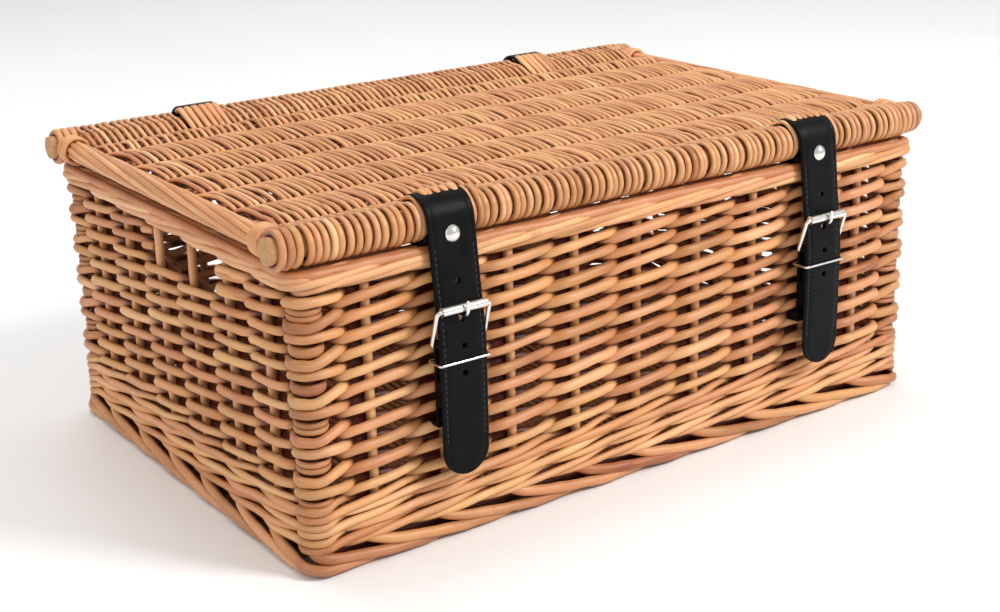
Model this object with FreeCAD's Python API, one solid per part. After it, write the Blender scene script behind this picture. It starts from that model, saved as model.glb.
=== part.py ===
"""Lidded willow hamper with two leather straps, roller buckles and leather hinges.

Millimetres. +X runs to the right along the front, +Y to the back, +Z up. The
floor is z = 0. Distances called "out" are measured outwards from the woven face
of a wall. The whole model is moved in Y at the end, so that the origin is under
the middle of its bounding box.
"""
import FreeCAD
import Part
import math
import os

V = FreeCAD.Vector
AXIS_X = V(1, 0, 0)
AXIS_Y = V(0, 1, 0)
AXIS_Z = V(0, 0, 1)

# Woven body
body_length = 444.0
body_width = 302.0
corner_radius = 12.0
rod = 5.2
stake_radius = 3.0
wall_thickness = 2 * rod + 2 * stake_radius
post_radius = corner_radius - rod
fit_gap = 0.05
clear_gap = 0.3
front_stakes = 9
end_stakes = 6

# Heights of the woven bands
foot_height = 13.0
wale_top = 39.0
weave_top = 155.0
border_top = 165.0
foot_out = 1.5
border_out = 1.5
stake_foot = 15.0
stake_head = 154.0

# Base
base_low = 5.0
base_thickness = 8.0
base_sticks = 5
base_stick_radius = 3.0

# Hand holes in the end walls, between the middle stakes of each end
hole_low = 131.0
hole_stakes = (2, 3, 4)

# Lid
roll_length = 460.0
roll_radius = 11.4
stick_radius = 7.0
roll_height = 177.5
roll_out = 1.0
lid_low = 172.5
lid_thickness = 12.0
lid_ribs = 6
rib_radius = 3.0
edge_inner = 214.0
edge_outer = 226.0
edge_low = 171.0
edge_high = 184.0
binding_wall = 2.5
binding_length = 9.0

# Leather
leather = 2.2
strap_width = 29.0
strap_x = 131.0
loop_radius = roll_radius + clear_gap
strap_tip = 41.0
hole_heights = (147.0, 113.0, 98.0)
hole_radius = 1.7
prong_slot = (125.0, 133.0)
chape_width = 26.0
chape_leather = 2.0
chape_foot = 68.0
chape_front_foot = 80.0
chape_rivet_height = 87.0
hinge_width = 25.0
hinge_leather = 2.0
hinge_tab_foot = 122.0
hinge_tab_head = 161.0
recess_depth = 1.8

# Buckle
bar_radius = 1.2
run_gap = 0.07
heel_out = 5.6
heel_height = 114.0
roller_out = 12.0
roller_height = 134.0
roller_radius = 2.5
roller_length = 27.0
frame_half_width = 16.3
frame_corner = 2.5
prong_radius = 1.05
prong_bend = 3.9
prong_ring_radius = 2.4
prong_ring_length = 4.0
prong_tip_height = 137.5
slot_width = 5.0
keeper_wire = 0.7
keeper_height = 105.0
rivet_head_radius = 4.6
rivet_head_height = 2.4
rivet_height = 171.5

half_length = body_length / 2
half_width = body_width / 2
roll_y = half_width + roll_out - roll_radius
strap_ring = loop_radius + leather
strap_ring_y = -roll_y
# Middle line of the strap below the roll, as (out, height)
strap_line = ((2.4, 179.5), (7.7, 136.0), (10.4, 113.0), (10.4, strap_tip))

front_reach = roller_out + prong_bend + prong_radius
hinge_tab_out = border_out + 0.2
back_reach = hinge_tab_out + hinge_leather
origin_shift = (front_reach - back_reach) / 2


def front(out):
    """Y of a point this far out from the front wall."""
    return -half_width - out


def box(x0, x1, y0, y1, z0, z1):
    return Part.makeBox(x1 - x0, y1 - y0, z1 - z0, V(x0, y0, z0))


def rod_x(x0, x1, y, z, radius):
    return Part.makeCylinder(radius, x1 - x0, V(x0, y, z), AXIS_X)


def rod_z(x, y, z0, z1, radius):
    return Part.makeCylinder(radius, z1 - z0, V(x, y, z0), AXIS_Z)


def group(solids):
    """One node made of separate solids."""
    return Part.makeCompound(list(solids))


def tube_x(x0, x1, y, z, outer, inner):
    return rod_x(x0, x1, y, z, outer).cut(rod_x(x0 - 1, x1 + 1, y, z, inner))


def rounded_block(out, z0, z1):
    """Solid block over the body's plan, this far out, with round corners."""
    x, y, r = half_length + out, half_width + out, corner_radius + out
    core = box(-x, x, -y, y, z0, z1)
    edges = [e for e in core.Edges if abs(e.tangentAt(e.FirstParameter).z) > 0.9]
    return core.makeFillet(r, edges)


def band(out, thickness, z0, z1):
    """Four bars around the body: front and back over the full length, ends between."""
    block = rounded_block(out, z0, z1)
    x, y = half_length + out, half_width + out
    inner_y = y - thickness
    ends_y = inner_y - fit_gap
    front_bar = block.common(box(-x, x, -y, -inner_y, z0, z1))
    back_bar = block.common(box(-x, x, inner_y, y, z0, z1))
    left_bar = box(-x, -x + thickness, -ends_y, ends_y, z0, z1)
    right_bar = box(x - thickness, x, -ends_y, ends_y, z0, z1)
    return front_bar, back_bar, left_bar, right_bar


def stake_line(count, span):
    """Evenly spaced stake positions between two corner posts."""
    pitch = span / (count + 1)
    return [-span / 2 + pitch * (i + 1) for i in range(count)]


stake_depth = rod + stake_radius
front_xs = stake_line(front_stakes, body_length)
end_ys = stake_line(end_stakes, body_width)
post_x = half_length - corner_radius
post_y = half_width - corner_radius


def front_stake_set(side, radius):
    y = side * (half_width - stake_depth)
    return [rod_z(x, y, stake_foot, stake_head, radius) for x in front_xs]


def end_stake_set(side, radius):
    x = side * (half_length - stake_depth)
    return [rod_z(x, -y, stake_foot, stake_head, radius) for y in end_ys]


def post(x_side, y_side, radius):
    return rod_z(x_side * post_x, y_side * post_y, stake_foot, stake_head, radius)


def bores():
    """Everything that stands in the woven walls, with a little room around it."""
    tools = []
    for side in (-1, 1):
        tools += front_stake_set(side, stake_radius + fit_gap)
        tools += end_stake_set(side, stake_radius + fit_gap)
        tools += [post(x_side, side, post_radius + fit_gap) for x_side in (-1, 1)]
    return tools


def foot_border():
    return group(band(foot_out, wall_thickness + foot_out, 0, foot_height))


def base_stick_ys():
    span = body_width - 2 * wall_thickness
    return stake_line(base_sticks, span)


def base_stick_group():
    x = half_length - wall_thickness - 4.0
    z = base_low + base_thickness / 2
    return group(rod_x(-x, x, y, z, base_stick_radius) for y in base_stick_ys())


def base_weave():
    x = half_length - wall_thickness - 0.2
    y = half_width - wall_thickness - 0.2
    slab = box(-x, x, -y, y, base_low, base_low + base_thickness)
    z = base_low + base_thickness / 2
    reach = half_length - wall_thickness - 4.0
    holes = [rod_x(-reach, reach, y, z, base_stick_radius + fit_gap) for y in base_stick_ys()]
    return slab.cut(holes)


def bottom_wale():
    bars = band(0, wall_thickness, foot_height, wale_top)
    return group(bar.cut(bores()) for bar in bars)


def chape_slot(x):
    """Room in the front wall for the end of a chape that is tucked into the weave."""
    half = chape_width / 2 + clear_gap
    low = chape_foot - clear_gap
    high = chape_foot + chape_leather + clear_gap
    return box(x - half, x + half, front(1), front(-rod), low, high)


def wall_front():
    bar = band(0, wall_thickness, wale_top, weave_top)[0]
    return bar.cut(bores() + [chape_slot(-strap_x), chape_slot(strap_x)])


def wall_back():
    return band(0, wall_thickness, wale_top, weave_top)[1].cut(bores())


def hole_edges():
    """Y of both sides of each hand hole on the left end, from the back."""
    first, middle, last = (-end_ys[i] for i in hole_stakes)
    return ((middle, first), (last, middle))


def end_wall(index):
    """End wall in three pieces: full rows below the hand holes, short rows beside them."""
    bar = band(0, wall_thickness, wale_top, weave_top)[index]
    (_, back_edge), (front_edge, _) = hole_edges()
    x0, x1 = bar.BoundBox.XMin, bar.BoundBox.XMax
    y0, y1 = bar.BoundBox.YMin, bar.BoundBox.YMax
    lower = box(x0, x1, y0, y1, wale_top, hole_low)
    front_part = box(x0, x1, y0, front_edge, hole_low, weave_top)
    back_part = box(x0, x1, back_edge, y1, hole_low, weave_top)
    tools = bores()
    return group(piece.cut(tools) for piece in (lower, front_part, back_part))


def recess(x, side, width):
    """Shallow dip in the border, where a leather band lies between it and the lid."""
    y = side * half_width
    half = width / 2 + clear_gap
    reach = wall_thickness + 4.0
    return box(x - half, x + half, y - reach, y + reach, border_top - recess_depth, border_top + 1)


def top_border():
    bars = band(border_out, wall_thickness + border_out, weave_top, border_top)
    dips = [recess(x, -1, strap_width) for x in (-strap_x, strap_x)]
    dips += [recess(x, 1, hinge_width) for x in (-strap_x, strap_x)]
    return group(bar.cut(dips) for bar in bars)


def chape(x):
    """Leather tab folded round the buckle's heel bar, with its back end in the weave."""
    x0, x1 = x - chape_width / 2, x + chape_width / 2
    inner = bar_radius + run_gap
    outer = inner + chape_leather
    y = front(heel_out)
    loop = rod_x(x0, x1, y, heel_height, outer).cut(rod_x(x0, x1, y, heel_height, inner))
    loop = loop.cut(box(x0, x1, y - outer, y + outer, heel_height - outer, heel_height))
    back_leg = box(x0, x1, y + inner, y + outer, chape_foot, heel_height)
    front_leg = box(x0, x1, y - outer, y - inner, chape_front_foot, heel_height)
    tuck = box(x0, x1, y + inner, front(-rod + clear_gap), chape_foot, chape_foot + chape_leather)
    spacer = box(x0, x1, y - inner, y + inner, chape_front_foot, chape_front_foot + 14)
    whole = loop.fuse([back_leg, front_leg, tuck, spacer]).removeSplitter()
    half = slot_width / 2
    slot = box(x - half, x + half, y - outer - 1, y + outer + 1, heel_height - 14, heel_height + outer + 1)
    bore = chape_rivet_bore(x, 2.0 + fit_gap)
    return whole.cut([slot, bore])


def chape_rivet_bore(x, radius):
    reach = bar_radius + run_gap + chape_leather
    start = V(x, front(heel_out) + reach, chape_rivet_height)
    return Part.makeCylinder(radius, 2 * reach, start, -AXIS_Y)


def chape_rivet(x):
    return chape_rivet_bore(x, 2.0)


def hinge_tab(x):
    """Leather of the hinge that lies on the back wall."""
    half = hinge_width / 2
    y = half_width + hinge_tab_out
    return box(x - half, x + half, y, y + hinge_leather, hinge_tab_foot, hinge_tab_head)


def hinge_loop(x):
    """Leather of the hinge that goes round the lid's back roll."""
    inner = roll_radius + fit_gap
    half = hinge_width / 2
    return tube_x(x - half, x + half, roll_y, roll_height, inner + hinge_leather, inner)


def lid_stick(side):
    return rod_x(-roll_length / 2, roll_length / 2, side * roll_y, roll_height, stick_radius)


def lid_wrap(side):
    """Weavers wrapped side by side round a lid stick."""
    x = roll_length / 2 - 3.0
    return tube_x(-x, x, side * roll_y, roll_height, roll_radius, stick_radius + fit_gap)


lid_edge_y = roll_y - roll_radius - clear_gap
rib_z = lid_low + lid_thickness / 2


def rib_ys():
    return stake_line(lid_ribs, 2 * roll_y)


def rib_group():
    x = edge_inner - fit_gap
    return group(rod_x(-x, x, y, rib_z, rib_radius) for y in rib_ys())


def binding(x_side, y_side):
    """Short coil of split willow round a lid corner."""
    y0 = lid_edge_y - binding_length
    y1 = lid_edge_y
    low, high = (y0, y1) if y_side > 0 else (-y1, -y0)
    x0, x1 = edge_inner - binding_wall, edge_outer + binding_wall
    xs = (x0, x1) if x_side > 0 else (-x1, -x0)
    return box(xs[0], xs[1], low, high, edge_low - binding_wall, edge_high + binding_wall)


def lid_corner_bindings():
    edges = [lid_edge(-1, fit_gap), lid_edge(1, fit_gap)]
    return group(binding(i, j).cut(edges) for i in (-1, 1) for j in (-1, 1))


def lid_edge(x_side, grow=0.0):
    """Rope-like border along one end of the lid."""
    x0, x1 = edge_inner - grow, edge_outer + grow
    xs = (x0, x1) if x_side > 0 else (-x1, -x0)
    y = lid_edge_y + grow
    return box(xs[0], xs[1], -y, y, edge_low - grow, edge_high + grow)


def lid_weave():
    x = edge_inner - clear_gap
    panel = box(-x, x, -lid_edge_y, lid_edge_y, lid_low, lid_low + lid_thickness)
    tools = [rod_x(-x, x, y, rib_z, rib_radius + fit_gap) for y in rib_ys()]
    tools += [binding(i, j) for i in (-1, 1) for j in (-1, 1)]
    for x_middle in (-strap_x, strap_x):
        for side, width in ((-1, strap_width), (1, hinge_width)):
            half = width / 2 + clear_gap
            y = side * (roll_y - strap_ring - clear_gap)
            y_edge = side * (lid_edge_y + 1)
            low, high = min(y, y_edge), max(y, y_edge)
            tools.append(box(x_middle - half, x_middle + half, low, high, lid_low - 1, lid_low + 14))
    return panel.cut(tools)


def strip(points, thickness, x0, x1):
    """Flat strip of leather along a line of (out, height) points."""
    runs = []
    for (o0, z0), (o1, z1) in zip(points, points[1:]):
        length = math.hypot(o1 - o0, z1 - z0)
        side = V(0, (z1 - z0) / length, (o1 - o0) / length) * (thickness / 2)
        a, b = V(x0, front(o0), z0), V(x0, front(o1), z1)
        corners = [a + side, b + side, b - side, a - side, a + side]
        runs.append(Part.Face(Part.makePolygon(corners)).extrude(V(x1 - x0, 0, 0)))
    for o, z in points[1:-1]:
        runs.append(rod_x(x0, x1, front(o), z, thickness / 2))
    return runs


def strap(x):
    """Strap looped round the lid's front roll, through the buckle, with a round tip."""
    x0, x1 = x - strap_width / 2, x + strap_width / 2
    ring = tube_x(x0, x1, strap_ring_y, roll_height, strap_ring, loop_radius)
    whole = ring.fuse(strip(strap_line, leather, x0, x1)).removeSplitter()
    whole = whole.cut(rod_x(x0 - 1, x1 + 1, strap_ring_y, roll_height, loop_radius))
    radius = strap_width / 2
    tip = box(x0 - 1, x1 + 1, front(40), front(-20), strap_tip - 2, strap_tip + radius)
    y_face = front(0)
    disc = Part.makeCylinder(radius, 30, V(x, y_face, strap_tip + radius), -AXIS_Y)
    whole = whole.cut(tip.cut(disc))
    tools = [
        Part.makeCylinder(hole_radius, 20, V(x, front(4), z), -AXIS_Y) for z in hole_heights
    ]
    low, high = prong_slot
    tools.append(box(x - 1.9, x + 1.9, front(15), front(4), low, high))
    return whole.cut(tools)


def strap_rivet(x):
    """Domed rivet that holds the strap closed round the lid roll."""
    (o0, z0), (o1, z1) = strap_line[:2]
    t = (z0 - rivet_height) / (z0 - z1)
    outwards = V(0, -(z0 - z1), o1 - o0)
    outwards.normalize()
    face = V(x, front(o0 + t * (o1 - o0)), rivet_height) + outwards * (leather / 2)
    ball = (rivet_head_radius ** 2 + rivet_head_height ** 2) / (2 * rivet_head_height)
    dome = Part.makeSphere(ball, face + outwards * (rivet_head_height - ball))
    seat = Part.makeCylinder(rivet_head_radius + 1, 2 * rivet_head_height, face, outwards)
    return dome.common(seat)


def ring_wire(points, radius):
    """Closed path through the points, with every corner rounded."""
    count = len(points)
    edges, starts, ends = [], [], []
    for i, corner in enumerate(points):
        before = (points[i - 1] - corner).normalize()
        after = (points[(i + 1) % count] - corner).normalize()
        starts.append(corner + before * radius)
        ends.append(corner + after * radius)
        bow = corner + (before + after) * radius
        middle = bow - (before + after).normalize() * radius
        edges.append(Part.Arc(starts[-1], middle, ends[-1]).toShape())
    for i in range(count):
        edges.append(Part.makeLine(ends[i], starts[(i + 1) % count]))
    return Part.Wire(Part.__sortEdges__(edges))


def bent_wire(path, start, direction, radius):
    """Round wire along a path."""
    profile = Part.Wire(Part.makeCircle(radius, start, direction))
    return path.makePipeShell([profile], True, True)


def buckle_frame(x):
    """Wire frame of the buckle: heel bar, two side bars and the roller's bar."""
    left, right = x - frame_half_width, x + frame_half_width
    heel_y, roller_y = front(heel_out), front(roller_out)
    corners = [
        V(left, heel_y, heel_height), V(right, heel_y, heel_height),
        V(right, roller_y, roller_height), V(left, roller_y, roller_height),
    ]
    path = ring_wire(corners, frame_corner)
    return bent_wire(path, V(x, heel_y, heel_height), AXIS_X, bar_radius)


def roller(x):
    half = roller_length / 2
    inner = bar_radius + run_gap
    return tube_x(x - half, x + half, front(roller_out), roller_height, roller_radius, inner)


def prong(x):
    """Prong: a ring on the heel bar and a shank that hooks out over the roller."""
    half = prong_ring_length / 2
    ring = rod_x(x - half, x + half, front(heel_out), heel_height, prong_ring_radius)
    shank_out = heel_out + 0.2
    small = 1.4
    turn_z = roller_height - prong_bend
    hook_out = roller_out + prong_bend

    def at(out, z):
        return V(x, front(out), z)

    a = at(shank_out, heel_height + bar_radius + 0.6)
    b = at(shank_out, turn_z - small)
    c = at(shank_out + small * (1 - math.sqrt(0.5)), turn_z - small * (1 - math.sqrt(0.5)))
    d = at(shank_out + small, turn_z)
    e = at(roller_out, turn_z)
    f = at(roller_out + prong_bend * math.sqrt(0.5), roller_height - prong_bend * math.sqrt(0.5))
    g = at(hook_out, roller_height)
    h = at(hook_out, prong_tip_height)
    path = Part.Wire([
        Part.makeLine(a, b), Part.Arc(b, c, d).toShape(), Part.makeLine(d, e),
        Part.Arc(e, f, g).toShape(), Part.makeLine(g, h),
    ])
    shank = bent_wire(path, a, AXIS_Z, prong_radius)
    tip = Part.makeSphere(prong_radius, h)
    bore = rod_x(x - half - 1, x + half + 1, front(heel_out), heel_height, bar_radius + run_gap)
    return ring.fuse([shank, tip]).removeSplitter().cut(bore)


def keeper(x):
    """Wire loop that holds the strap's end to the chape."""
    half = strap_width / 2 + 0.5 + keeper_wire
    back = 0.5 + keeper_wire
    fore = strap_line[-1][0] + leather / 2 + clear_gap + keeper_wire
    corners = [
        V(x - half, front(back), keeper_height), V(x + half, front(back), keeper_height),
        V(x + half, front(fore), keeper_height), V(x - half, front(fore), keeper_height),
    ]
    path = ring_wire(corners, 1.5)
    return bent_wire(path, V(x, front(back), keeper_height), AXIS_X, keeper_wire)


def nodes():
    """Every node's name and shape."""
    made = {
        "foot_border": foot_border(),
        "base_weave": base_weave(),
        "base_sticks": base_stick_group(),
        "bottom_wale": bottom_wale(),
        "wall_front": wall_front(),
        "wall_back": wall_back(),
        "wall_left": end_wall(2),
        "wall_right": end_wall(3),
        "stakes_front": group(front_stake_set(-1, stake_radius)),
        "stakes_back": group(front_stake_set(1, stake_radius)),
        "stakes_left": group(end_stake_set(-1, stake_radius)),
        "stakes_right": group(end_stake_set(1, stake_radius)),
        "top_border": top_border(),
        "lid_front_stick": lid_stick(-1),
        "lid_back_stick": lid_stick(1),
        "lid_front_wrap": lid_wrap(-1),
        "lid_back_wrap": lid_wrap(1),
        "lid_ribs": rib_group(),
        "lid_weave": lid_weave(),
        "lid_border_left": lid_edge(-1),
        "lid_border_right": lid_edge(1),
        "lid_corner_bindings": lid_corner_bindings(),
    }
    for y_name, y_side in (("front", -1), ("back", 1)):
        for x_name, x_side in (("left", -1), ("right", 1)):
            made[f"corner_post_{y_name}_{x_name}"] = post(x_side, y_side, post_radius)
    makers = {
        "chape": chape, "chape_rivet": chape_rivet, "hinge_tab": hinge_tab,
        "hinge_loop": hinge_loop, "strap": strap, "strap_rivet": strap_rivet,
        "buckle_frame": buckle_frame, "buckle_roller": roller, "buckle_prong": prong,
        "keeper": keeper,
    }
    for side_name, x in (("left", -strap_x), ("right", strap_x)):
        for name, make in makers.items():
            made[f"{name}_{side_name}"] = make(x)
    return made


os.makedirs("parts", exist_ok=True)
for node, shape in nodes().items():
    moved = shape.copy()
    moved.translate(V(0, origin_shift, 0))
    if not moved.isValid():
        print("not valid:", node)
    moved.exportStep(f"parts/{node}.step")
    print(f"{node:26s} solids {len(moved.Solids):3d}  volume {moved.Volume:11.0f}")
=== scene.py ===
"""Woven willow hamper: rods, leather, metal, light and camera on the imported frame. Metres."""
import bpy
import math
import numpy as np
from mathutils import Matrix, Vector


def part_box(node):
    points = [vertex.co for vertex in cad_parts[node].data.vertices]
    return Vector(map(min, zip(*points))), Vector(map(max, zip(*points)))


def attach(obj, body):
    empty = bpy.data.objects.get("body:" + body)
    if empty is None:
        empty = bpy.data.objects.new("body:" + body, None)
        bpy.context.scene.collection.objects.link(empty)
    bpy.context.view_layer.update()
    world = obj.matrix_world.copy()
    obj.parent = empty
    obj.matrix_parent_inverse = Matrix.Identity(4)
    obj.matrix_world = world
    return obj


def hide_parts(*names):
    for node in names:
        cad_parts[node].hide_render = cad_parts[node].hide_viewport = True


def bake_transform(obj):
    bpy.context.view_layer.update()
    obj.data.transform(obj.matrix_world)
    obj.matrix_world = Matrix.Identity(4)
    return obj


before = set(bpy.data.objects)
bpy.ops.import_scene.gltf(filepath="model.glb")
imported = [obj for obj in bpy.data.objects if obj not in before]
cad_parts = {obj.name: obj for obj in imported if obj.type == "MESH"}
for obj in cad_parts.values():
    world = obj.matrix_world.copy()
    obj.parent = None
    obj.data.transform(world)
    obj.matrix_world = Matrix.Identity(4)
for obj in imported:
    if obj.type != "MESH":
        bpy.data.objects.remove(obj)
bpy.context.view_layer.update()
rng = np.random.default_rng(11)
MM = 0.001

# ---------------- dimensions
wall_low, wall_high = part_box("bottom_wale")
half_length = (wall_high.x - wall_low.x) / 2
half_width = (wall_high.y - wall_low.y) / 2
mid_y = (wall_high.y + wall_low.y) / 2
corner_radius = 12.0 * MM
wall_thickness = 16.4 * MM
front_stakes = 9
end_stakes = 6
stake_radius = 2.6 * MM
rod_radius = 3.15 * MM
rod_step = 2.6 * MM
row_count = 11
hole_row = 9  # first row that stops at the hand holes
wale_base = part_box("bottom_wale")[0].z
weave_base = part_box("wall_front")[0].z
border_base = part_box("top_border")[0].z
border_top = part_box("top_border")[1].z
strap_x = (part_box("strap_right")[0].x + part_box("strap_right")[1].x) / 2
strap_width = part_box("strap_right")[1].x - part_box("strap_right")[0].x
roll_low, roll_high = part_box("lid_front_wrap")
roll_y = -((roll_low.y + roll_high.y) / 2 - mid_y)
roll_z = (roll_low.z + roll_high.z) / 2
roll_radius = (roll_high.z - roll_low.z) / 2
stick_low, stick_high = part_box("lid_front_stick")
stick_radius = (stick_high.z - stick_low.z) / 2
stick_end = stick_high.x
wrap_end = roll_high.x
rib_low, rib_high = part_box("lid_ribs")
rib_z = (rib_low.z + rib_high.z) / 2
rib_radius = (rib_high.z - rib_low.z) / 2
rib_count = 6
edge_low, edge_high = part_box("lid_border_right")
edge_x = (edge_low.x + edge_high.x) / 2
edge_z = (edge_low.z + edge_high.z) / 2
edge_y = (edge_high.y - edge_low.y) / 2


# ---------------- materials
def new_material(name):
    """A bare material, with its node tree and its one shader."""
    material = bpy.data.materials.new(name)
    material.use_nodes = True
    tree = material.node_tree
    tree.nodes.clear()
    output = tree.nodes.new("ShaderNodeOutputMaterial")
    shader = tree.nodes.new("ShaderNodeBsdfPrincipled")
    tree.links.new(shader.outputs[0], output.inputs[0])
    return material, tree, shader


def ramp(tree, stops):
    """Colour ramp through (position, colour) stops."""
    node = tree.nodes.new("ShaderNodeValToRGB")
    elements = node.color_ramp.elements
    while len(elements) > 1:
        elements.remove(elements[-1])
    for i, (position, colour) in enumerate(stops):
        element = elements[0] if i == 0 else elements.new(position)
        element.position = position
        element.color = (*colour, 1)
    return node


def attribute(tree, name):
    """Value stored in the mesh under this name."""
    node = tree.nodes.new("ShaderNodeAttribute")
    node.attribute_name = name
    return node.outputs["Fac"]


def math_node(tree, operation, a, b):
    """One operation on two values, each a socket or a number."""
    node = tree.nodes.new("ShaderNodeMath")
    node.operation = operation
    for socket, value in zip(node.inputs, (a, b)):
        if isinstance(value, (int, float)):
            socket.default_value = value
        else:
            tree.links.new(value, socket)
    return node.outputs[0]


def noise(tree, vector, scale, detail):
    """Cloudy noise of 0 to 1, read at a vector."""
    node = tree.nodes.new("ShaderNodeTexNoise")
    node.inputs["Scale"].default_value = scale
    node.inputs["Detail"].default_value = detail
    node.inputs["Roughness"].default_value = 0.55
    tree.links.new(vector, node.inputs["Vector"])
    return node.outputs["Fac"]


def multiply_colour(tree, factor, a, b):
    """Colour a, multiplied by colour b as far as the factor says."""
    node = tree.nodes.new("ShaderNodeMix")
    node.data_type = "RGBA"
    node.blend_type = "MULTIPLY"
    for socket, value in ((node.inputs[0], factor), (node.inputs[6], a), (node.inputs[7], b)):
        if isinstance(value, (int, float)):
            socket.default_value = value
        elif isinstance(value, tuple):
            socket.default_value = (*value, 1)
        else:
            tree.links.new(value, socket)
    return node.outputs[2]


def object_noise(tree, scale, detail):
    """Noise that stays with the object."""
    coords = tree.nodes.new("ShaderNodeTexCoord")
    return noise(tree, coords.outputs["Object"], scale, detail)


def colour_from(tree, shader, source, stops):
    """Base colour that follows a source through a colour ramp."""
    tone = ramp(tree, stops)
    tree.links.new(source, tone.inputs[0])
    tree.links.new(tone.outputs[0], shader.inputs["Base Color"])


def roughness_from(tree, shader, source, low, high):
    """Roughness that follows a source between two limits."""
    gloss = tree.nodes.new("ShaderNodeMapRange")
    gloss.inputs["To Min"].default_value = low
    gloss.inputs["To Max"].default_value = high
    tree.links.new(source, gloss.inputs["Value"])
    tree.links.new(gloss.outputs[0], shader.inputs["Roughness"])


def bump(tree, shader, height, distance, strength):
    """Fine relief that follows a height."""
    node = tree.nodes.new("ShaderNodeBump")
    node.inputs["Strength"].default_value = strength
    node.inputs["Distance"].default_value = distance
    tree.links.new(height, node.inputs["Height"])
    tree.links.new(node.outputs[0], shader.inputs["Normal"])


def rod_noise(tree, along, around, detail):
    """Noise that runs with a rod, at one scale along it and one around it, other for each rod."""
    node = tree.nodes.new("ShaderNodeCombineXYZ")
    apart = 37.0
    for socket, (name, scale) in zip(node.inputs, (("along", along), ("around", around), ("tint", apart))):
        tree.links.new(math_node(tree, "MULTIPLY", attribute(tree, name), scale), socket)
    return noise(tree, node.outputs[0], 1.0, detail)


def swing(tree, source, amount):
    """Turns a source of 0 to 1 into a swing this wide, up and down from 0."""
    centred = math_node(tree, "SUBTRACT", source, 0.5)
    return math_node(tree, "MULTIPLY", centred, amount)


def willow_material():
    """Buff willow: each rod has its own tone and cast, with patches, streaks, specks and grain.

    Deep between the rods, where the depth attribute is 1, it turns dark brown: this is painted shade.
    """
    material, tree, shader = new_material("buff_willow")
    tone = ramp(tree, (
        (0.0, (0.280, 0.090, 0.030)), (0.2, (0.450, 0.175, 0.065)),
        (0.5, (0.620, 0.285, 0.120)), (0.8, (0.740, 0.390, 0.180)),
        (1.0, (0.830, 0.500, 0.260)),
    ))
    patches = rod_noise(tree, 22.0, 0.6, 2.0)
    streaks = rod_noise(tree, 30.0, 7.0, 4.0)
    level = math_node(tree, "ADD", attribute(tree, "tint"), swing(tree, patches, 0.75))
    level = math_node(tree, "ADD", level, swing(tree, streaks, 0.45))
    tree.links.new(level, tone.inputs[0])
    spots = ramp(tree, ((0.66, (0, 0, 0)), (0.74, (1, 1, 1))))
    tree.links.new(rod_noise(tree, 70.0, 2.2, 2.0), spots.inputs[0])
    speck = math_node(tree, "MULTIPLY", spots.outputs[0], 0.4)
    spotted = multiply_colour(tree, speck, tone.outputs[0], (0.42, 0.24, 0.14))
    chance = tree.nodes.new("ShaderNodeTexWhiteNoise")
    chance.noise_dimensions = "1D"
    tree.links.new(attribute(tree, "tint"), chance.inputs["W"])
    cast = ramp(tree, (
        (0.0, (1.0, 0.90, 0.92)), (0.35, (1.0, 1.0, 1.0)),
        (0.7, (0.97, 1.02, 0.86)), (1.0, (1.02, 0.93, 0.80)),
    ))
    tree.links.new(chance.outputs["Value"], cast.inputs[0])
    tinted = multiply_colour(tree, 1.0, spotted, cast.outputs[0])
    # Painted shade: dark red-brown that the depth attribute multiplies into the rods where shade falls
    # between them.
    shade = (0.18, 0.055, 0.027)
    colour = multiply_colour(tree, attribute(tree, "depth"), tinted, shade)
    tree.links.new(colour, shader.inputs["Base Color"])
    shader.inputs["Roughness"].default_value = 0.41
    shader.inputs["Specular IOR Level"].default_value = 0.5
    bump(tree, shader, rod_noise(tree, 60.0, 22.0, 3.0), 0.0004, 0.5)
    return material


def cut_material():
    """Cut end of a rod: dry, paler wood."""
    material, tree, shader = new_material("cut_willow")
    stops = ((0.25, (0.40, 0.21, 0.085)), (0.75, (0.56, 0.33, 0.15)))
    colour_from(tree, shader, object_noise(tree, 420.0, 2.0), stops)
    shader.inputs["Roughness"].default_value = 0.8
    return material


def leather_material():
    """Black bridle leather: fine pebbled grain, faint creases and a soft shine."""
    material, tree, shader = new_material("black_leather")
    coords = tree.nodes.new("ShaderNodeTexCoord")
    cells = tree.nodes.new("ShaderNodeTexVoronoi")
    cells.inputs["Scale"].default_value = 1500.0
    tree.links.new(coords.outputs["Object"], cells.inputs["Vector"])
    pebbles = math_node(tree, "MULTIPLY", cells.outputs["Distance"], 0.6)
    height = math_node(tree, "ADD", pebbles, object_noise(tree, 420.0, 5.0))
    wear = object_noise(tree, 90.0, 4.0)
    stops = ((0.3, (0.0016, 0.0016, 0.0021)), (0.75, (0.0048, 0.0048, 0.0054)))
    colour_from(tree, shader, wear, stops)
    roughness_from(tree, shader, wear, 0.34, 0.50)
    shader.inputs["Specular IOR Level"].default_value = 0.09
    bump(tree, shader, height, 0.00025, 0.4)
    return material


def nickel_material():
    """Bright nickel plate with faint polishing marks."""
    material, tree, shader = new_material("bright_nickel")
    marks = object_noise(tree, 600.0, 4.0)
    colour_from(tree, shader, marks, ((0.3, (0.66, 0.64, 0.60)), (0.7, (0.86, 0.85, 0.82))))
    roughness_from(tree, shader, marks, 0.14, 0.28)
    shader.inputs["Metallic"].default_value = 1.0
    return material


def thread_material():
    """Black waxed thread, a little paler than the leather."""
    material, tree, shader = new_material("black_thread")
    stops = ((0.3, (0.022, 0.022, 0.025)), (0.7, (0.050, 0.050, 0.054)))
    colour_from(tree, shader, object_noise(tree, 3000.0, 2.0), stops)
    shader.inputs["Roughness"].default_value = 0.7
    return material


def floor_material():
    """White studio floor."""
    material, tree, shader = new_material("studio_floor")
    stops = ((0.3, (0.86, 0.86, 0.86)), (0.7, (0.89, 0.89, 0.89)))
    colour_from(tree, shader, object_noise(tree, 2.0, 2.0), stops)
    shader.inputs["Roughness"].default_value = 0.75
    return material


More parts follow.
